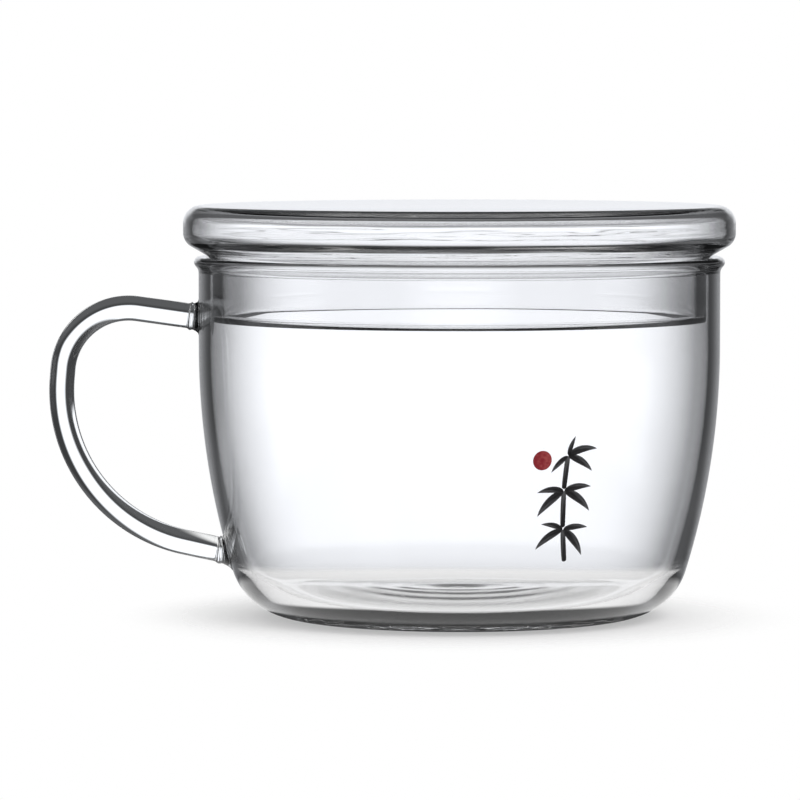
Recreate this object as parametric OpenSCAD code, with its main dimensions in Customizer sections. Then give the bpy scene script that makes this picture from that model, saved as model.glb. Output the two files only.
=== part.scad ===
// Glass mug with a loose glass lid.
// A blown cup with a fire-polished rim carries a bent rod handle on two welds, and the lid's neck sits in
// the rim. The origin is on the cup's axis at its foot, +Z is up and the handle is on the -X side.

/* [Cup] */
// Outside diameter of the straight upper wall
cup_d = 116; // [100:1:140]
// Height of the cup from its foot to the top of its rim
cup_h = 80; // [70:1:110]
// Thickness of the blown wall
wall_t = 2.5; // [1.8:0.1:3.4]
// Height of the straight wall below the top of the rim
straight_h = 20; // [18:1:34]
// Radius of the outside where it draws in below the straight wall
side_r = 170; // [130:5:400]
// Radius of the inside where it draws in, a little tighter so that the wall thickens downwards
inside_r = 160; // [120:5:390]
// Radius of the rounded corner outside the foot
corner_r = 14.5; // [8:0.5:20]
// Radius of the rounded corner inside the floor
inside_corner_r = 13; // [6:0.5:18]
// Thickness of the floor next to its rounded corner
floor_t = 3.4; // [2.4:0.1:6]
// Rise of the floor from its corner to its middle
floor_rise = 0.7; // [0.2:0.1:1.5]
// Diameter of the dimple in the middle of the floor
dimple_d = 22; // [12:1:36]
// Depth of that dimple
dimple_depth = 0.8; // [0.2:0.1:1.4]

/* [Rim] */
// Height of the fire-polished bead
bead_h = 2.4; // [1.8:0.1:3]
// Distance that the bead stands out from the wall
bead_out = 1; // [0.4:0.1:1.6]
// Radius of the hollow that runs from the bead into the wall
bead_hollow_r = 2; // [1:0.1:4]

/* [Handle] */
// Diameter of the glass rod
rod_d = 5.6; // [4.5:0.1:8]
// Depth of the upper weld below the top of the rim
weld_drop = 13.5; // [10:0.1:17]
// Height of the lower weld above the foot
weld_rise = 14.2; // [14:0.1:22]
// Distance from the straight wall to the corner of the rod's upper bend
top_reach = 29; // [22:0.5:40]
// Height of that corner above the upper weld
top_lift = 4; // [0:0.2:8]
// Distance from the straight wall to the corner of the rod's lower bend
low_reach = 33; // [26:0.5:44]
// Height of that corner above the lower weld
low_lift = 8.4; // [2:0.2:14]
// Radius of the upper bend, at the middle of the rod
top_bend_r = 14.7; // [8:0.1:20]
// Radius of the lower bend, at the middle of the rod
low_bend_r = 34.5; // [20:0.5:40]
// Length of a weld between the rod's end and the wall
weld_l = 2.4; // [1.6:0.1:4]
// Distance that a weld spreads past the rod at the wall
weld_spread = 1.2; // [0.5:0.1:2]

/* [Lid] */
// Distance that the lid's bulged edge stands out past the bead of the rim
lid_over = 2.4; // [1:0.1:5]
// Thickness of the lid's wall
lid_t = 2; // [1.5:0.1:2.6]
// Gap between the lid's skirt and the cup's bore
skirt_gap = 0.6; // [0.4:0.1:1.2]
// Gap between the lid's neck and the rim that it sits on
seat_gap = 0.3; // [0.2:0.05:0.35]
// Depth of the skirt below the top of the rim
skirt_depth = 14; // [10:0.5:18]
// Radius of the rounding inside the skirt's lower edge
edge_in_r = 1.7; // [0.4:0.1:2.4]
// Radius of the rounding outside that edge
edge_out_r = 0.2; // [0.1:0.05:0.4]
// Radius of the hollow neck above the skirt
neck_r = 3; // [2.6:0.1:4]
// Slope of the lid's underside between the neck and the bulge
flare_angle = 30; // [10:1:40]
// Inside radius of the bulge's lower bend
bulge_low_r = 1.4; // [0.4:0.1:2]
// Height of the straight side of the bulge
bulge_side = 2.15; // [0.2:0.05:5]
// Inside radius of the bulge's upper bend
bulge_top_r = 1.9; // [0.8:0.1:4]

/* [Hidden] */
$fn = 240;
glass = [0.84, 0.91, 0.92, 0.5];
arc_steps = 10;
floor_steps = 14;
over = 1;
rod_lap = 0.4;
bend_swell = 0.01;
edge_land = 0.1;

// Cup sizes
cup_r = cup_d / 2;
bore_r = cup_r - wall_t;
bend_z = cup_h - straight_h;
bead_r = bead_h / 2;
bead_z = cup_h - bead_r;
bead_in_x = bore_r + bead_r;
bead_out_x = cup_r + bead_out - bead_r;
hollow_x = cup_r + bead_hollow_r;
hollow_z = bead_z - sqrt(pow(bead_r + bead_hollow_r, 2) - pow(hollow_x - bead_out_x, 2));
hollow_turn = atan2(bead_z - hollow_z, hollow_x - bead_out_x);

// Direction at an angle, in the plane of a profile or of the handle
function heading(angle) = [cos(angle), sin(angle)];

// Points along an arc about a centre, from one angle to another
function arc(centre, r, from, to, steps = arc_steps) =
    [for (i = [0:steps]) let (angle = from + (to - from) * i / steps) centre + r * heading(angle)];

// Middle of the rounded corner that runs from a drawn-in side into a flat floor
function corner_centre(r, big_r, small_r, floor_z) =
    [r - big_r + sqrt(pow(big_r - small_r, 2) - pow(bend_z - floor_z - small_r, 2)), floor_z + small_r];

// Downward angle at which that corner leaves the drawn-in side
function corner_angle(r, big_r, centre) = atan2(bend_z - centre.y, centre.x - r + big_r);

// Corner and side of a vessel's wall, from the floor up to the straight part
function vessel_side(r, big_r, small_r, floor_z) =
    let (centre = corner_centre(r, big_r, small_r, floor_z), turn = corner_angle(r, big_r, centre))
    concat(arc(centre, small_r, -90, -turn), arc([r - big_r, bend_z], big_r, -turn, 0));

// Height of the domed and dimpled floor at a radius
function floor_z_at(r, edge) = floor_t + floor_rise * (1 - pow(r / edge, 2))
    - (r < dimple_d / 2 ? dimple_depth * (1 + cos(360 * r / dimple_d)) / 2 : 0);

// Outside of the drawn-in wall at a height above the corner
function wall_x(z) = z > bend_z ? cup_r : cup_r - side_r + sqrt(pow(side_r, 2) - pow(bend_z - z, 2));

// Outward slope of the wall's surface below horizontal at that height
function wall_tilt(z) = z > bend_z ? 0 : asin((bend_z - z) / side_r);

// Solid that fills the cup's outside, which also trims the welds to the wall
module cup_outside() {
    rotate_extrude()
        polygon(concat(
            [[0, 0]],
            vessel_side(cup_r, side_r, corner_r, 0),
            [[cup_r, hollow_z], [0, hollow_z]]));
}

module cup_body() {
    floor_edge = corner_centre(bore_r, inside_r, inside_corner_r, floor_t).x;
    outside = vessel_side(cup_r, side_r, corner_r, 0);
    bead = concat(
        arc([hollow_x, hollow_z], bead_hollow_r, 180, 180 - hollow_turn),
        arc([bead_out_x, bead_z], bead_r, -hollow_turn, 90),
        arc([bead_in_x, bead_z], bead_r, 90, 180));
    inside = vessel_side(bore_r, inside_r, inside_corner_r, floor_t);
    floor_line = [for (i = [0:floor_steps - 1])
        let (r = floor_edge * i / floor_steps) [r, floor_z_at(r, floor_edge)]];
    color(glass) rotate_extrude() difference() {
        polygon(concat([[0, 0]], outside, bead, [[0, bead_z]]));
        polygon(concat(floor_line, inside, [[bore_r, cup_h + over], [0, cup_h + over]]));
    }
}

// Rod sizes: the path runs from the upper weld round two bends to the lower weld
rod_r = rod_d / 2;
upper_z = cup_h - weld_drop;
path = [
    [-wall_x(upper_z), upper_z],
    [-cup_r - top_reach, upper_z + top_lift],
    [-cup_r - low_reach, weld_rise + low_lift],
    [-wall_x(weld_rise), weld_rise]];
runs = [for (i = [0:2]) path[i + 1] - path[i]];
headings = [for (run = runs) atan2(run.y, run.x)];
turns = [for (i = [0:1]) (headings[i + 1] - headings[i] + 720) % 360];
wanted = [top_bend_r * tan(turns[0] / 2), low_bend_r * tan(turns[1] / 2)];
room = min(1, norm(runs[1]) / (wanted[0] + wanted[1]),
    (norm(runs[0]) - weld_l) / wanted[0], (norm(runs[2]) - weld_l) / wanted[1]);
tangents = room * wanted;
bends = room * [top_bend_r, low_bend_r];

// Straight rod between two points of the handle's plane
module straight_rod(from, to, r = rod_r) {
    run = to - from;
    translate([from.x, 0, from.y]) rotate([0, atan2(run.x, run.y), 0]) cylinder(h = norm(run), r = r);
}

// Bent rod round the corner of the path with this number, a hair thicker than the straight runs
module bent_rod(i) {
    start = path[i + 1] - tangents[i] * heading(headings[i]);
    centre = start + bends[i] * heading(headings[i] + 90);
    translate([centre.x, 0, centre.y]) rotate([90, 0, 0]) rotate([0, 0, headings[i] - 90])
        rotate_extrude(angle = turns[i]) translate([bends[i], 0]) circle(rod_r + bend_swell);
}

// Direction of a weld, halfway between the rod and the wall's own outward direction
function weld_lean(point, rod_angle) = (rod_angle + 180 + wall_tilt(point.y)) / 2;

// Straight runs that end a little way inside the bends, trimmed square to the two welds
module handle() {
    reaches = tangents - [rod_lap, rod_lap];
    color(glass) difference() {
        union() {
            straight_rod(path[0], path[1] - reaches[0] * heading(headings[0]));
            bent_rod(0);
            straight_rod(path[1] + reaches[0] * heading(headings[1]),
                path[2] - reaches[1] * heading(headings[1]));
            bent_rod(1);
            straight_rod(path[2] + reaches[1] * heading(headings[2]), path[3]);
        }
        for (end = [[path[0], headings[0]], [path[3], headings[2] + 180]]) {
            out = heading(weld_lean(end[0], end[1]));
            straight_rod(end[0] - rod_d * out, end[0] + weld_l * out, rod_d);
        }
    }
}

// Flared collar between a rod's end and the wall, trimmed to the wall
module weld(point, rod_angle) {
    flare_r = (pow(weld_l, 2) + pow(weld_spread, 2)) / (2 * weld_spread);
    flare_turn = asin(weld_l / flare_r);
    foot = [[0, -rod_d], [rod_r + weld_spread, -rod_d]];
    difference() {
        translate([point.x, 0, point.y]) rotate([0, 90 - weld_lean(point, rod_angle), 0]) rotate_extrude()
            polygon(concat(
                foot,
                arc([rod_r + flare_r, weld_l], flare_r, 180 + flare_turn, 180),
                [[0, weld_l]]));
        cup_outside();
    }
}

module upper_weld() {
    color(glass) weld(path[0], headings[0]);
}

module lower_weld() {
    color(glass) weld(path[3], headings[2] + 180);
}

// Lid sizes: the neck's hollow is set over the inner half of the rim's bead
lid_r = cup_r + bead_out + lid_over;
skirt_r = bore_r - skirt_gap;
skirt_z = cup_h - skirt_depth;
neck_drop = sqrt(pow(neck_r - bead_r - seat_gap, 2) - pow(neck_r - bead_r - skirt_gap, 2));
neck = [skirt_r + neck_r, bead_z - neck_drop];
low_out_r = bulge_low_r + lid_t;
top_out_r = bulge_top_r + lid_t;
flare_start = neck + neck_r * heading(90 + flare_angle);
flare_run = lid_r - low_out_r + low_out_r * sin(flare_angle) - flare_start.x;
low = [lid_r - low_out_r, flare_start.y + flare_run * tan(flare_angle) + low_out_r * cos(flare_angle)];
top = [lid_r - top_out_r, low.y + bulge_side];
top_z = top.y + top_out_r;
edge_round = min(edge_in_r, lid_t - edge_out_r - edge_land);
edge_in = [skirt_r - lid_t + edge_round, skirt_z + edge_round];
edge_out = [skirt_r - edge_out_r, skirt_z + edge_out_r];

// One blown wall of even thickness: open skirt with a rounded edge, neck, bulge and flat top
module lid() {
    outside = concat(
        arc(edge_in, edge_round, 180, 270),
        arc(edge_out, edge_out_r, 270, 360),
        arc(neck, neck_r, 180, 90 + flare_angle),
        arc(low, low_out_r, flare_angle - 90, 0),
        arc(top, top_out_r, 0, 90));
    inside = concat(
        arc(top, bulge_top_r, 90, 0),
        arc(low, bulge_low_r, 0, flare_angle - 90),
        arc(neck, neck_r + lid_t, 90 + flare_angle, 180));
    color(glass) rotate_extrude()
        polygon(concat(outside, [[0, top_z], [0, top_z - lid_t]], inside));
}

cup_body();
handle();
upper_weld();
lower_weld();
lid();
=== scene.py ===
"""Clear glass mug with a welded rod handle and a loose glass lid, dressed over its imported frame."""
from math import acos, asin, atan2, cos, exp, pi, radians, sin, sqrt, tan

import bmesh
import bpy
from mathutils import Matrix, Vector


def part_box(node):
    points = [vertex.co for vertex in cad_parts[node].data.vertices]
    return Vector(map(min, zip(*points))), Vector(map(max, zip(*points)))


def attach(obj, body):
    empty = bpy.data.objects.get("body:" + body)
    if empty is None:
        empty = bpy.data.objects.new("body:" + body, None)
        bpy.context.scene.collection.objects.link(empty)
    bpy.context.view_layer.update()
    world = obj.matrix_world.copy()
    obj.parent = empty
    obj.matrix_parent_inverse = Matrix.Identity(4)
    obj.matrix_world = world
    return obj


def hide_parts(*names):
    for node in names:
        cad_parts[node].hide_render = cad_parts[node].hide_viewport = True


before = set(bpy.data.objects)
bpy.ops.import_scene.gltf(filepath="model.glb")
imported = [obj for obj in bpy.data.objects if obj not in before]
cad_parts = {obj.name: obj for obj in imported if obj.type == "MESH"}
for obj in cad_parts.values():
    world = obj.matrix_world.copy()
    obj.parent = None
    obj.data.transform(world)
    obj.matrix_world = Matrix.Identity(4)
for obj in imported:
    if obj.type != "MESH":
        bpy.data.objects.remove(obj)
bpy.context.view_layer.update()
scene = bpy.context.scene
scene.view_settings.view_transform = "Standard"
scene.cycles.caustics_refractive = True
scene.cycles.max_bounces = 48
scene.cycles.glossy_bounces = 32
scene.cycles.transmission_bounces = 48

# Camera
# A long lens about a metre off, a little above the lid and level with the side that carries the print.
# The aim is between the cup and its handle, so that both sit in the middle of the square picture.
aim = Vector((-0.0132, 0.0, 0.048))
camera_distance = 1.157
camera_height = 0.119
lens_data = bpy.data.cameras.new("camera")
lens_data.sensor_width = 36.0
lens_data.lens = 234.0
camera = bpy.data.objects.new("camera", lens_data)
camera.location = (aim.x, -camera_distance, camera_height)
camera.rotation_euler = (aim - camera.location).to_track_quat("-Z", "Y").to_euler()
scene.collection.objects.link(camera)
scene.camera = camera

# Studio
# A pale round floor runs out into a white surround. White panels stand round the table, with dark gaps
# between them and a dark ceiling, so that the edges of clear glass draw dark lines. What light meets
# depends on the faces of glass that it has crossed, two in the rod and four or more in the hollow cup.


def put(tree, kind, inputs=None, **settings):
    """Adds one shader node, with its settings, plain values and links."""
    node = tree.nodes.new("ShaderNode" + kind)
    for name, value in settings.items():
        setattr(node, name, value)
    for socket, source in (inputs or {}).items():
        if isinstance(source, bpy.types.NodeSocket):
            tree.links.new(source, node.inputs[socket])
        else:
            node.inputs[socket].default_value = source
    return node


def fade(tree, value, start, end):
    """Falls smoothly from 1 at the start to 0 at the end."""
    ends = {"Value": value, "From Min": start, "From Max": end, "To Min": 1.0, "To Max": 0.0}
    return put(tree, "MapRange", ends, interpolation_type="SMOOTHSTEP").outputs["Result"]


def product(tree, first, second):
    return put(tree, "Math", {0: first, 1: second}, operation="MULTIPLY").outputs[0]


def blend_value(tree, share, off, on):
    return put(tree, "MapRange", {"Value": share, "To Min": off, "To Max": on}).outputs["Result"]


# Four panels, with soft edges as the hollow cup shows them
panel_step = radians(90)
panel_half = (radians(3), radians(13))
panel_edge = (radians(22), radians(30))
edge_level = 0.42
panel_low = (radians(4), radians(30))
panel_high = (radians(34), radians(42))
panel_glow = 1.25
panel_tint = (0.945, 0.963, 1.0, 1.0)
plain_white = (1.0, 1.0, 1.0, 1.0)
# The same panels with crisp edges, as the solid rod shows them
rod_half = (radians(10), radians(17))
rod_low = (radians(9), radians(13))
rod_faces = 2.0
cup_faces = 4.0
# White cards below the horizon between the panels, for the rod only on its own side
card_inner = (radians(30), radians(38))
card_top = (radians(6), radians(10))
left_fade = (-0.1, 0.1)
# The dark gaps, and the paler dark far above and below the horizon
gap_level = 0.045
far_level = 0.11
far_from = (radians(12), radians(24))
# What light that has turned back inside the glass meets
sheen_low = (radians(0), radians(2.5))
sheen_high = (radians(8), radians(13))
sheen_side = (radians(12), radians(22))
sheen_half = (radians(14), radians(31))
sheen_near = (radians(7), radians(12))
sheen_level = (0.03, 0.07, 0.32)
sheen_panel = 0.2
band_level = 0.13
line_turns = (1.0, 3.0)
line_share = 0.12
crest_turns = (10.0, 16.0)
crest_share = 0.5
ambient_level = 0.8

world = bpy.data.worlds.new("studio")
world.use_nodes = True
scene.world = world
sky = world.node_tree
sky.nodes.clear()
# Which way light comes from, round the table and above or below the horizon
direction = put(sky, "SeparateXYZ", {"Vector": put(sky, "TexCoord").outputs["Generated"]}).outputs
azimuth = put(sky, "Math", {0: direction["X"], 1: direction["Y"]}, operation="ARCTAN2").outputs[0]
off_panel = put(sky, "Math", {0: azimuth, 1: panel_step / 2}, operation="PINGPONG").outputs[0]
elevation = put(sky, "Math", {0: direction["Z"]}, operation="ARCSINE").outputs[0]
depth = product(sky, elevation, -1.0)
# The white panels and cards, and the dark between them
panel = blend_value(sky, fade(sky, off_panel, *panel_half), edge_level, 1.0)
panel = product(sky, panel, fade(sky, off_panel, *panel_edge))
panel = product(sky, panel, fade(sky, depth, *panel_low))
crisp = product(sky, fade(sky, off_panel, *rod_half), fade(sky, depth, *rod_low))
path = put(sky, "LightPath").outputs
faces = path["Transmission Depth"]
by_faces = {"Value": faces, "From Min": rod_faces, "From Max": cup_faces}
hollow = put(sky, "MapRange", by_faces).outputs["Result"]
panel = blend_value(sky, hollow, crisp, panel)
panel = product(sky, panel, fade(sky, elevation, *panel_high))
beside = blend_value(sky, fade(sky, off_panel, *card_inner), 1.0, 0.0)
card = product(sky, beside, blend_value(sky, fade(sky, depth, *card_top), 1.0, 0.0))
left = fade(sky, direction["X"], *left_fade)
card = product(sky, card, blend_value(sky, hollow, left, 1.0))
white = put(sky, "Math", {0: panel, 1: card}, operation="MAXIMUM").outputs[0]
steep = put(sky, "Math", {0: elevation}, operation="ABSOLUTE").outputs[0]
dark_level = blend_value(sky, fade(sky, steep, *far_from), far_level, gap_level)
panel_level = blend_value(sky, white, dark_level, panel_glow)
# The sheen for light that has turned back inside the glass, dimmer with each turn but for the crest
off_band = put(sky, "Math", {0: faces, 1: rod_faces}, operation="SUBTRACT").outputs[0]
off_band = put(sky, "Math", {0: off_band}, operation="ABSOLUTE").outputs[0]
in_band = put(sky, "MapRange", {"Value": off_band, "To Min": 1.0, "To Max": 0.0}).outputs["Result"]
above = product(sky, fade(sky, depth, *sheen_low), fade(sky, elevation, *sheen_high))
above = product(sky, above, blend_value(sky, in_band, 1.0, 0.0))
above = product(sky, above, fade(sky, off_panel, *sheen_side))
sheen = put(sky, "Math", {0: above, 1: product(sky, white, sheen_panel)}, operation="MAXIMUM").outputs[0]
low_sheen = blend_value(sky, fade(sky, off_panel, *sheen_half), *sheen_level[1:])
far_sheen = blend_value(sky, in_band, sheen_level[0], band_level)
low_sheen = blend_value(sky, fade(sky, steep, *sheen_near), far_sheen, low_sheen)
sheen = blend_value(sky, sheen, low_sheen, 1.0)
turns = path["Glossy Depth"]
lost = blend_value(sky, fade(sky, turns, *crest_turns), crest_share, line_share)
lost = blend_value(sky, fade(sky, turns, *line_turns), lost, 1.0)
sheen = product(sky, sheen, lost)
# Plain white for the camera, panels and sheen for the glass, and even light for all else
seen_in_glass = path["Is Glossy Ray"]
level = blend_value(sky, seen_in_glass, ambient_level, panel_level)
level = blend_value(sky, turns, level, sheen)
level = blend_value(sky, path["Is Camera Ray"], level, 1.0)
tint = put(sky, "Mix", {"Factor": seen_in_glass, "A": plain_white, "B": panel_tint}, data_type="RGBA")
surround = put(sky, "Background", {"Color": tint.outputs[2], "Strength": level})
put(sky, "OutputWorld", {"Surface": surround.outputs["Background"]})

floor_r = 0.084
floor_drop = 0.0003
floor_colour = (0.9, 0.9, 0.9, 1.0)
floor_fade = (0.06, 0.072)
floor_glow = 0.95
shadow_fade = (0.04, 0.078)
shadow_lift = 0.4
# The shade under the foot, for light that has turned back in the glass or crossed the rim
foot_fade = (0.0426, 0.044)
foot_level = 0.04
middle_fade = (0.02, 0.034)
middle_level = 0.32
rim_fade = (0.057, 0.06)
rim_faces = (4.0, 6.0)

bm = bmesh.new()
bmesh.ops.create_circle(bm, cap_ends=True, segments=96, radius=floor_r,
                        matrix=Matrix.Translation((0, 0, -floor_drop)))
floor_mesh = bpy.data.meshes.new("floor")
bm.to_mesh(floor_mesh)
bm.free()
floor = bpy.data.objects.new("floor", floor_mesh)
scene.collection.objects.link(floor)
floor_paint = bpy.data.materials.new("pale_floor")
floor_paint.use_nodes = True
tree = floor_paint.node_tree
tree.nodes.clear()
spot = put(tree, "TexCoord").outputs["Object"]
reach = put(tree, "VectorMath", {0: spot}, operation="LENGTH").outputs["Value"]
pale = put(tree, "BsdfDiffuse", {"Color": floor_colour})
path = put(tree, "LightPath").outputs
deep = put(tree, "MapRange", {"Value": path["Glossy Depth"]}).outputs["Result"]
under_foot = product(tree, fade(tree, reach, *foot_fade), deep)
thick = blend_value(tree, fade(tree, path["Transmission Depth"], *rim_faces), 1.0, 0.0)
through_rim = product(tree, fade(tree, reach, *rim_fade), thick)
under_foot = put(tree, "Math", {0: under_foot, 1: through_rim}, operation="MAXIMUM").outputs[0]
dark = blend_value(tree, fade(tree, reach, *middle_fade), foot_level, middle_level)
glow = put(tree, "Emission", {"Strength": blend_value(tree, under_foot, 1.0, dark)})
glass_ray = product(tree, path["Is Glossy Ray"], floor_glow)
seen_through = blend_value(tree, path["Is Camera Ray"], glass_ray, shadow_lift)
pale = put(tree, "MixShader", {0: seen_through, 1: pale.outputs[0], 2: glow.outputs[0]})
clear = put(tree, "BsdfTransparent")
near = blend_value(tree, path["Is Camera Ray"], fade(tree, reach, *floor_fade),
                   fade(tree, reach, *shadow_fade))
both = put(tree, "MixShader", {0: near, 1: clear.outputs[0], 2: pale.outputs[0]})
put(tree, "OutputMaterial", {"Surface": both.outputs[0]})
floor_mesh.materials.append(floor_paint)

lamp_data = bpy.data.lights.new("soft_lamp", "AREA")
lamp_data.size = 0.7
lamp_data.energy = 6.0
lamp = bpy.data.objects.new("soft_lamp", lamp_data)
lamp.location = (0.55, -0.75, 1.0)
lamp.rotation_euler = (-lamp.location).to_track_quat("-Z", "Y").to_euler()
lamp.visible_glossy = False
lamp.visible_transmission = False
scene.collection.objects.link(lamp)

# Cup
# One blown cup of clear glass, drawn here as half of its section and spun round its axis. The side draws
# in to a rounded foot, the floor has a shallow dimple, and the rim is melted back to a smooth bead.


def draw_line(bm, tip, x, z):
    """Draws a section on to a point and returns its new tip."""
    tip = bmesh.ops.extrude_vert_indiv(bm, verts=[tip])["verts"][0]
    tip.co = (x, 0.0, z)
    return tip


def draw_straight(bm, tip, x, z, steps=8):
    """Draws a section straight on to a point in even steps."""
    start = tip.co.copy()
    for step in range(1, steps + 1):
        share = step / steps
        tip = draw_line(bm, tip, start.x + (x - start.x) * share, start.z + (z - start.z) * share)
    return tip


def draw_arc(bm, tip, centre, turn, steps):
    """Swings a section's tip round a centre, to the left for a positive turn."""
    pivot = (centre[0], 0.0, centre[1])
    swung = bmesh.ops.spin(bm, geom=[tip], cent=pivot, axis=(0, -1, 0), angle=turn, steps=steps)
    return swung["geom_last"][0]


def spin_section(bm, name, around=256):
    """Spins a drawn half section round the axis into a closed, smooth glass body."""
    section = bm.verts[:] + bm.edges[:]
    bmesh.ops.spin(bm, geom=section, cent=(0, 0, 0), axis=(0, 0, 1), angle=2 * pi, steps=around,
                   use_merge=True)
    return finish_piece(bm, name)


def finish_piece(bm, name):
    """Closes a mesh, turns its faces outwards and makes it an object in the scene."""
    bmesh.ops.remove_doubles(bm, verts=bm.verts[:], dist=1e-7)
    bmesh.ops.recalc_face_normals(bm, faces=bm.faces[:])
    for face in bm.faces:
        face.smooth = True
    mesh = bpy.data.meshes.new(name)
    bm.to_mesh(mesh)
    bm.free()
    piece = bpy.data.objects.new(name, mesh)
    scene.collection.objects.link(piece)
    return piece


cup_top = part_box("cup_body")[1]
rim_z = cup_top.z
bead_out = 0.001
cup_r = cup_top.x - bead_out
wall_t = 0.0025
bore_r = cup_r - wall_t
straight_h = 0.02
bend_z = rim_z - straight_h
side_r = 0.17
inside_r = 0.16
corner_r = 0.0145
inside_corner_r = 0.013
floor_t = 0.0034
floor_rise = 0.0007
dimple_d = 0.022
dimple_depth = 0.0008
ripple_pitch = 0.0062
ripple_height = 0.00006
ripple_reach = 0.02
floor_steps = 120
bead_r = 0.0012
bead_hollow_r = 0.002


def corner_centre(r, big_r, small_r, floor_z):
    """Middle of the rounded corner between a drawn-in side and a flat floor."""
    lift = floor_z + small_r
    return Vector((r - big_r + sqrt((big_r - small_r) ** 2 - (bend_z - lift) ** 2), lift))


def corner_turn(r, big_r, centre):
    """Angle below level at which the corner meets the side."""
    return atan2(bend_z - centre.y, centre.x - r + big_r)


bm = bmesh.new()
corner = corner_centre(cup_r, side_r, corner_r, 0.0)
turn = corner_turn(cup_r, side_r, corner)
tip = bm.verts.new((0.0, 0.0, 0.0))
tip = draw_straight(bm, tip, corner.x, 0.0, steps=4)
tip = draw_arc(bm, tip, corner, pi / 2 - turn, steps=20)
tip = draw_arc(bm, tip, (cup_r - side_r, bend_z), turn, steps=24)
bead_z = rim_z - bead_r
bead_x = cup_r + bead_out - bead_r
hollow_x = cup_r + bead_hollow_r
hollow_z = bead_z - sqrt((bead_r + bead_hollow_r) ** 2 - (hollow_x - bead_x) ** 2)
hollow_turn = atan2(bead_z - hollow_z, hollow_x - bead_x)
tip = draw_straight(bm, tip, cup_r, hollow_z, steps=4)
tip = draw_arc(bm, tip, (hollow_x, hollow_z), -hollow_turn, steps=8)
tip = draw_arc(bm, tip, (bead_x, bead_z), hollow_turn + pi / 2, steps=14)
tip = draw_line(bm, tip, bore_r + bead_r, rim_z)
tip = draw_arc(bm, tip, (bore_r + bead_r, bead_z), pi / 2, steps=10)
tip = draw_straight(bm, tip, bore_r, bend_z, steps=4)
inner = corner_centre(bore_r, inside_r, inside_corner_r, floor_t)
turn = corner_turn(bore_r, inside_r, inner)
tip = draw_arc(bm, tip, (bore_r - inside_r, bend_z), -turn, steps=24)
tip = draw_arc(bm, tip, inner, turn - pi / 2, steps=20)
for step in range(1, floor_steps + 1):
    r = inner.x * (1 - step / floor_steps)
    dome = floor_rise * (1 - (r / inner.x) ** 2)
    dip = dimple_depth * (1 + cos(2 * pi * r / dimple_d)) / 2 if r < dimple_d / 2 else 0.0
    ripple = ripple_height * exp(-r / ripple_reach) * cos(2 * pi * r / ripple_pitch)
    tip = draw_line(bm, tip, r, floor_t + dome - dip + ripple)
cup = spin_section(bm, "cup")

cup_tint = (0.99, 0.99, 0.992, 1.0)
glass_ior = 1.47
wave_fade = 0.003
waves = bpy.data.node_groups.new("blown_waves", "ShaderNodeTree")
for socket in ("Across", "Along", "From Radius"):
    waves.interface.new_socket(socket, in_out="INPUT", socket_type="NodeSocketFloat")
waves.interface.new_socket("Height", in_out="OUTPUT", socket_type="NodeSocketFloat")
given = waves.nodes.new("NodeGroupInput").outputs
place = put(waves, "TexCoord").outputs["Object"]
flat = put(waves, "VectorMath", {0: place, 1: (1, 1, 0)}, operation="MULTIPLY").outputs["Vector"]
reach = put(waves, "VectorMath", {0: flat}, operation="LENGTH").outputs["Value"]
height = put(waves, "SeparateXYZ", {"Vector": place}).outputs["Z"]
ring = put(waves, "Math", {0: reach, 1: height}, operation="ADD").outputs[0]
ring = put(waves, "Math", {0: ring, 1: given["Across"]}, operation="DIVIDE").outputs[0]
slow = put(waves, "VectorMath", {0: flat, 1: given["Along"]}, operation="DIVIDE").outputs["Vector"]
ring = put(waves, "CombineXYZ", {"Z": ring}).outputs["Vector"]
spot = put(waves, "VectorMath", {0: slow, 1: ring}, operation="ADD").outputs["Vector"]
noise = put(waves, "TexNoise", {"Vector": spot, "Scale": 1.0, "Detail": 1.0, "Roughness": 0.4})
beyond = put(waves, "Math", {0: reach, 1: given["From Radius"]}, operation="SUBTRACT").outputs[0]
beyond = blend_value(waves, fade(waves, beyond, 0.0, wave_fade), 1.0, 0.0)
result = waves.nodes.new("NodeGroupOutput")
waves.links.new(product(waves, noise.outputs["Fac"], beyond), result.inputs["Height"])


def clear_glass(name, tint, across, along, depth, from_r=-wave_fade):
    """Clear, fire-polished borosilicate glass with the faint waves of blowing and drawing."""
    glass = bpy.data.materials.new(name)
    glass.use_nodes = True
    tree = glass.node_tree
    shader = tree.nodes["Principled BSDF"]
    wave = put(tree, "Group", {"Across": across, "Along": along, "From Radius": from_r}, node_tree=waves)
    bump = put(tree, "Bump", {"Height": wave.outputs["Height"], "Distance": depth})
    tree.links.new(bump.outputs["Normal"], shader.inputs["Normal"])
    shader.inputs["Base Color"].default_value = tint
    shader.inputs["Roughness"].default_value = 0.0
    shader.inputs["IOR"].default_value = glass_ior
    shader.inputs["Transmission Weight"].default_value = 1.0
    return glass


cup.data.materials.append(clear_glass("cup_glass", cup_tint, across=0.006, along=0.05, depth=0.000012))
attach(cup, "mug")
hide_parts("cup_body")

# Handle
# A solid glass rod bent like an ear, with both its ends melted on to the wall in flared feet.
# One closed body: a ring is pushed along the straight runs and swung round the bends.
rod_r = 0.0028
weld_drop = 0.0135
weld_rise = 0.0142
top_reach = 0.029
top_lift = 0.004
low_reach = 0.033
low_lift = 0.0084
top_bend_r = 0.0147
low_bend_r = 0.0345
weld_l = 0.0024
weld_spread = 0.0012
weld_bead = 0.0003
weld_bead_share = 0.5
weld_gap = 0.00003
flare_steps = 24
rod_tint = (0.98, 0.99, 0.99, 1.0)


def wall_r(z):
    """Outside radius of the wall at a height above the corner."""
    if z > bend_z:
        return cup_r
    return cup_r - side_r + sqrt(side_r ** 2 - (bend_z - z) ** 2)


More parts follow.
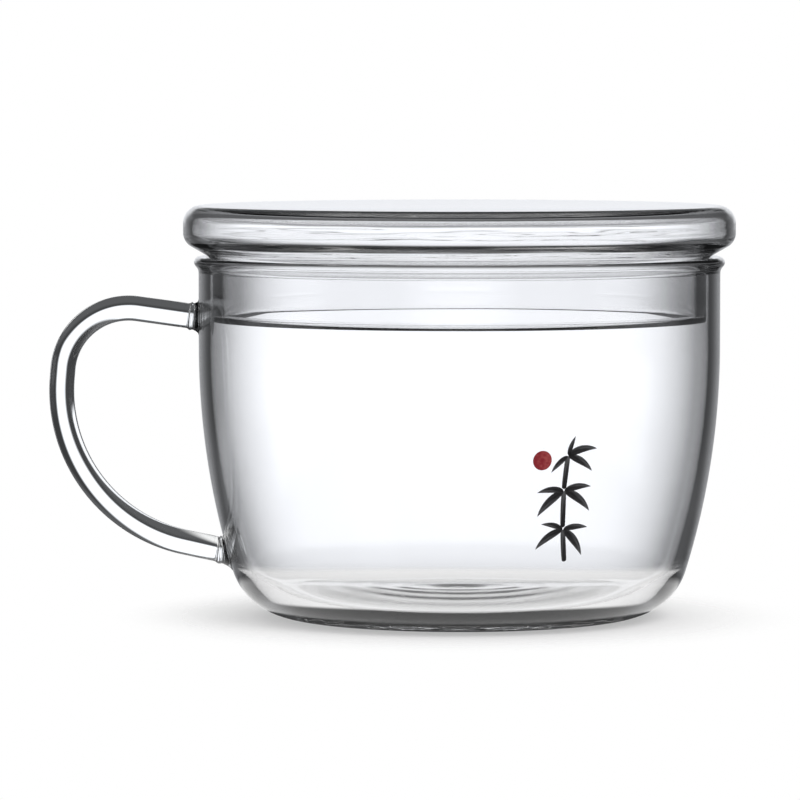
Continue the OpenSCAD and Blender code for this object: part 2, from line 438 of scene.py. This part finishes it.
upper_z = rim_z - weld_drop
corners = [
    Vector((-wall_r(upper_z), 0.0, upper_z)),
    Vector((-cup_r - top_reach, 0.0, upper_z + top_lift)),
    Vector((-cup_r - low_reach, 0.0, weld_rise + low_lift)),
    Vector((-wall_r(weld_rise), 0.0, weld_rise))]
runs = [(end - start).normalized() for start, end in zip(corners, corners[1:])]


def ring_verts(ring):
    return list({vert for edge in ring for vert in edge.verts})


bm = bmesh.new()
turned = runs[0].to_track_quat("Z", "Y").to_matrix().to_4x4()
made = bmesh.ops.create_circle(bm, segments=48, radius=rod_r,
                               matrix=Matrix.Translation(corners[0] + weld_l * runs[0]) @ turned)
first = list({edge for vert in made["verts"] for edge in vert.link_edges})
ring = first
here = corners[0] + weld_l * runs[0]
for bend, bend_r, steps in ((1, top_bend_r, 40), (2, low_bend_r, 60)):
    sweep = acos(runs[bend - 1].dot(runs[bend]))
    start = corners[bend] - bend_r * tan(sweep / 2) * runs[bend - 1]
    run_to = bmesh.ops.extrude_edge_only(bm, edges=ring)["geom"]
    moved = [part for part in run_to if isinstance(part, bmesh.types.BMVert)]
    bmesh.ops.translate(bm, verts=moved, vec=start - here)
    ring = [part for part in run_to if isinstance(part, bmesh.types.BMEdge)]
    inward = Vector((0.0, -1.0, 0.0)).cross(runs[bend - 1])
    swung = bmesh.ops.spin(bm, geom=moved + ring, cent=start + bend_r * inward, axis=(0, -1, 0),
                           angle=sweep, steps=steps)
    ring = [part for part in swung["geom_last"] if isinstance(part, bmesh.types.BMEdge)]
    here = corners[bend] + bend_r * tan(sweep / 2) * runs[bend]
run_to = bmesh.ops.extrude_edge_only(bm, edges=ring)["geom"]
moved = [part for part in run_to if isinstance(part, bmesh.types.BMVert)]
bmesh.ops.translate(bm, verts=moved, vec=corners[3] - weld_l * runs[2] - here)
last = [part for part in run_to if isinstance(part, bmesh.types.BMEdge)]

for ring, foot, run in ((first, corners[0], -runs[0]), (last, corners[3], runs[2])):
    middle = foot - weld_l * run
    starts = {vert: vert.co.copy() for vert in ring_verts(ring)}
    for step in range(1, flare_steps + 1):
        share = step / flare_steps
        spread = weld_spread * (1 - sqrt(1 - share ** 2))
        if share < weld_bead_share:
            spread += weld_bead * sin(pi * share / weld_bead_share) ** 2
        run_to = bmesh.ops.extrude_edge_only(bm, edges=ring)["geom"]
        moved = [part for part in run_to if isinstance(part, bmesh.types.BMVert)]
        ring = [part for part in run_to if isinstance(part, bmesh.types.BMEdge)]
        ends = {}
        for vert in moved:
            source = min(starts, key=lambda old: (old.co - vert.co).length)
            ends[vert] = starts[source]
            rim = starts[source] + (starts[source] - middle).normalized() * spread
            reach = rim + run * weld_l
            wall_x = -sqrt(wall_r(reach.z) ** 2 - reach.y ** 2) - weld_gap
            slide = (wall_x - rim.x) / run.x
            vert.co = rim + run * slide * share
        starts = ends
    bmesh.ops.edgeloop_fill(bm, edges=ring, mat_nr=1)
handle = finish_piece(bm, "handle_rod")
handle.data.materials.append(clear_glass("handle_glass", rod_tint, across=0.02, along=0.03,
                                         depth=0.00002))
melted = bpy.data.materials.new("melted_joint")
melted.use_nodes = True
melted.node_tree.nodes["Principled BSDF"].inputs["Alpha"].default_value = 0.0
handle.data.materials.append(melted)

patch = bpy.data.node_groups.new("melted_patch", "ShaderNodeTree")
for socket in ("Foot", "Axis"):
    patch.interface.new_socket(socket, in_out="INPUT", socket_type="NodeSocketVector")
for socket in ("Radius", "Reach"):
    patch.interface.new_socket(socket, in_out="INPUT", socket_type="NodeSocketFloat")
patch.interface.new_socket("Mask", in_out="OUTPUT", socket_type="NodeSocketFloat")
given = patch.nodes.new("NodeGroupInput").outputs
spot = put(patch, "TexCoord").outputs["Object"]
off_foot = put(patch, "VectorMath", {0: spot, 1: given["Foot"]}, operation="SUBTRACT").outputs["Vector"]
pair = {0: off_foot, 1: given["Axis"]}
along = put(patch, "VectorMath", pair, operation="DOT_PRODUCT").outputs["Value"]
across = put(patch, "VectorMath", pair, operation="CROSS_PRODUCT").outputs["Vector"]
across = put(patch, "VectorMath", {0: across}, operation="LENGTH").outputs["Value"]
inside = put(patch, "Math", {0: across, 1: given["Radius"]}, operation="LESS_THAN").outputs[0]
along = put(patch, "Math", {0: along}, operation="ABSOLUTE").outputs[0]
outer = put(patch, "Math", {0: along, 1: given["Reach"]}, operation="LESS_THAN").outputs[0]
result = patch.nodes.new("NodeGroupOutput")
patch.links.new(product(patch, inside, outer), result.inputs["Mask"])

tree = cup.data.materials[0].node_tree
whole = 1.0
for foot, run in ((corners[0], runs[0]), (corners[3], runs[2])):
    weld = {"Foot": foot, "Axis": run, "Radius": rod_r + weld_spread, "Reach": wall_t / 2}
    under = put(tree, "Group", weld, node_tree=patch).outputs["Mask"]
    whole = put(tree, "Math", {0: whole, 1: under}, operation="SUBTRACT").outputs[0]
tree.links.new(whole, tree.nodes["Principled BSDF"].inputs["Alpha"])

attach(handle, "mug")
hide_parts("handle", "upper_weld", "lower_weld")

# Print
# A spray of bamboo in black enamel, baked on to the front of the wall, with a small red sun beside it.
# Each stroke is a thin skin of enamel, laid flat as a brush lays it and then wrapped on the wall.
print_x = 0.0214
print_z = 0.029
print_lift = 0.00002
enamel_t = 0.00004
enamel_rough = (0.3, 0.6)
streak_depth = 0.00002
wear_along = 0.25
wear_fade = (0.5, 0.85)


def lay_stroke(bm, start, heading, length, bend, width, pressing, lifting):
    """Lays one curved brush stroke flat, with its length along U, and returns its end."""
    grid = bmesh.ops.create_grid(bm, x_segments=28, y_segments=6, size=0.5, calc_uvs=True)
    widest = pressing / (pressing + lifting)
    full = widest ** pressing * (1 - widest) ** lifting
    for vert in grid["verts"]:
        along = vert.co.x + 0.5
        press = along ** pressing * (1 - along) ** lifting / full
        turned = heading + bend * along
        halfway = heading + bend * along / 2
        side = Vector((-sin(turned), cos(turned))) * width * press * vert.co.y
        spot = start + length * along * Vector((cos(halfway), sin(halfway))) + side
        vert.co = (spot.x, spot.y, 0.0)
    return start + length * Vector((cos(heading + bend / 2), sin(heading + bend / 2)))


def wrap_print(bm, name):
    """Gives flat enamel its thickness and wraps it on the front of the wall."""
    bmesh.ops.remove_doubles(bm, verts=bm.verts[:], dist=1e-7)
    bmesh.ops.recalc_face_normals(bm, faces=bm.faces[:])
    bmesh.ops.solidify(bm, geom=bm.faces[:], thickness=enamel_t)
    lowest = min(vert.co.z for vert in bm.verts)
    for vert in bm.verts:
        z = print_z + vert.co.y
        turned = asin(print_x / wall_r(print_z)) + vert.co.x / wall_r(z)
        reach = wall_r(z) + print_lift + vert.co.z - lowest
        vert.co = (reach * sin(turned), -reach * cos(turned), z)
    return finish_piece(bm, name)


wear = bpy.data.node_groups.new("brushed_wear", "ShaderNodeTree")
wear.interface.new_socket("Streak", in_out="INPUT", socket_type="NodeSocketVector")
for socket in ("Hairs", "Worn"):
    wear.interface.new_socket(socket, in_out="OUTPUT", socket_type="NodeSocketFloat")
given = wear.nodes.new("NodeGroupInput").outputs
brush = put(wear, "TexCoord").outputs["UV"]
drawn = put(wear, "Mapping", {"Vector": brush, "Scale": given["Streak"]}).outputs["Vector"]
hairs = put(wear, "TexNoise", {"Vector": drawn, "Scale": 1.0, "Detail": 3.0}).outputs["Fac"]
along = put(wear, "SeparateXYZ", {"Vector": brush}).outputs["X"]
thin = put(wear, "Math", {0: hairs, 1: product(wear, along, wear_along)}, operation="ADD").outputs[0]
result = wear.nodes.new("NodeGroupOutput")
wear.links.new(hairs, result.inputs["Hairs"])
wear.links.new(blend_value(wear, fade(wear, thin, *wear_fade), 1.0, 0.0), result.inputs["Worn"])


def enamel(name, colour, worn_colour, streak):
    """Baked enamel, worn thin in streaks along the brush."""
    paint = bpy.data.materials.new(name)
    paint.use_nodes = True
    tree = paint.node_tree
    shader = tree.nodes["Principled BSDF"]
    brushed = put(tree, "Group", {"Streak": streak}, node_tree=wear).outputs
    worn = brushed["Worn"]
    mixed = put(tree, "Mix", {"Factor": worn, "A": colour, "B": worn_colour}, data_type="RGBA")
    tree.links.new(mixed.outputs[2], shader.inputs["Base Color"])
    tree.links.new(blend_value(tree, worn, *enamel_rough), shader.inputs["Roughness"])
    bump = put(tree, "Bump", {"Height": brushed["Hairs"], "Distance": streak_depth})
    tree.links.new(bump.outputs["Normal"], shader.inputs["Normal"])
    return paint


black = (0.011, 0.01, 0.011, 1.0)
worn_black = (0.1, 0.1, 0.105, 1.0)
stem_foot = Vector((0.0018, -0.0128))
stem_w = 0.0012
stem_bend = radians(-4)
stem_press = (0.09, 0.09)
stem_runs = ((101, 0.0072), (95, 0.008), (88, 0.0072))
joint_gap = 0.0004
leaf_slim = 0.23
leaf_gap = 0.0001
leaf_press = (0.6, 0.95)
# Each leaf has its joint on the stem, its heading, its length and its bend.
leaves = (
    (0, -32, 0.0076, -34), (0, 196, 0.0072, 40), (0, 18, 0.0058, -30), (0, 150, 0.0052, 34),
    (1, -16, 0.0078, -38), (1, 24, 0.0064, -34), (1, 207, 0.0078, 34), (1, 165, 0.006, 36),
    (2, 76, 0.0044, -14), (2, 34, 0.007, -46), (2, -12, 0.0068, -36), (2, 212, 0.005, 24))
bm = bmesh.new()
bm.loops.layers.uv.new("brush")
tip = stem_foot
joints = []
for heading, length in stem_runs:
    heading = radians(heading)
    end = lay_stroke(bm, tip, heading, length, stem_bend, stem_w, *stem_press)
    joints.append(end)
    tip = end + joint_gap * Vector((cos(heading), sin(heading)))
for joint, heading, length, bend in leaves:
    heading = radians(heading)
    start = joints[joint] + leaf_gap * Vector((cos(heading), sin(heading)))
    lay_stroke(bm, start, heading, length, radians(bend), leaf_slim * length, *leaf_press)
spray = wrap_print(bm, "bamboo_print")
spray.data.materials.append(enamel("black_enamel", black, worn_black, streak=(1.2, 9, 1)))
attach(spray, "mug")

red = (0.24, 0.014, 0.022, 1.0)
worn_red = (0.36, 0.05, 0.05, 1.0)
sun_r = 0.0021
sun_spot = Vector((-0.0052, 0.0094))
bm = bmesh.new()
bm.loops.layers.uv.new("brush")
grid = bmesh.ops.create_grid(bm, x_segments=14, y_segments=14, size=1.0, calc_uvs=True)
for vert in grid["verts"]:
    across = vert.co.x * sqrt(1 - vert.co.y ** 2 / 2)
    up = vert.co.y * sqrt(1 - vert.co.x ** 2 / 2)
    vert.co = (sun_spot.x + sun_r * across, sun_spot.y + sun_r * up, 0.0)
sun = wrap_print(bm, "sun_print")
sun.data.materials.append(enamel("red_enamel", red, worn_red, streak=(5, 7, 1)))
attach(sun, "mug")

# Lid
# A loose one-piece blown lid of even wall. Its open skirt hangs in the mouth of the cup, its neck rests
# on the rim, its edge bulges out past the rim, and its top is flat.
lid_low, lid_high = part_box("lid")
lid_r = lid_high.x
lid_t = 0.002
skirt_gap = 0.0006
seat_gap = 0.0003
edge_r = 0.0017
edge_corner_r = 0.0002
neck_r = 0.003
flare = radians(30)
bulge_low_r = 0.0014
bulge_side = 0.00215
bulge_top_r = 0.0019
lid_tint = (0.99, 0.99, 0.992, 1.0)
edge_waves_r = 0.0555

skirt_r = bore_r - skirt_gap
skirt_z = lid_low.z
neck_drop = sqrt((neck_r - bead_r - seat_gap) ** 2 - (neck_r - bead_r - skirt_gap) ** 2)
neck = Vector((skirt_r + neck_r, bead_z - neck_drop))
low_out_r = bulge_low_r + lid_t
top_out_r = bulge_top_r + lid_t
slope = Vector((-sin(flare), cos(flare)))
flare_run = lid_r - low_out_r * (1 + slope.x) - neck.x - neck_r * slope.x
low = Vector((lid_r - low_out_r, neck.y + flare_run * tan(flare) + (neck_r + low_out_r) * cos(flare)))
top = Vector((lid_r - top_out_r, low.y + bulge_side))
top_z = top.y + top_out_r

bm = bmesh.new()
tip = bm.verts.new((0.0, 0.0, top_z - lid_t))
tip = draw_straight(bm, tip, top.x, top_z - lid_t)
tip = draw_arc(bm, tip, top, -pi / 2, steps=24)
tip = draw_line(bm, tip, lid_r - lid_t, low.y)
tip = draw_arc(bm, tip, low, flare - pi / 2, steps=12)
inside_start = neck + (neck_r + lid_t) * slope
tip = draw_line(bm, tip, inside_start.x, inside_start.y)
tip = draw_arc(bm, tip, neck, pi / 2 - flare, steps=16)
tip = draw_straight(bm, tip, skirt_r - lid_t, skirt_z + edge_r)
tip = draw_arc(bm, tip, (skirt_r - lid_t + edge_r, skirt_z + edge_r), pi / 2, steps=24)
tip = draw_line(bm, tip, skirt_r - edge_corner_r, skirt_z)
tip = draw_arc(bm, tip, (skirt_r - edge_corner_r, skirt_z + edge_corner_r), pi / 2, steps=6)
tip = draw_straight(bm, tip, skirt_r, neck.y)
tip = draw_arc(bm, tip, neck, flare - pi / 2, steps=14)
tip = draw_line(bm, tip, low.x - low_out_r * slope.x, low.y - low_out_r * slope.y)
tip = draw_arc(bm, tip, low, pi / 2 - flare, steps=16)
tip = draw_line(bm, tip, lid_r, top.y)
tip = draw_arc(bm, tip, top, pi / 2, steps=24)
tip = draw_straight(bm, tip, 0.0, top_z)
lid = spin_section(bm, "lid_glass_cover")
lid.data.materials.append(clear_glass("lid_glass", lid_tint, across=0.0016, along=0.03, depth=0.00008,
                                      from_r=edge_waves_r))
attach(lid, "lid")
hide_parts("lid")
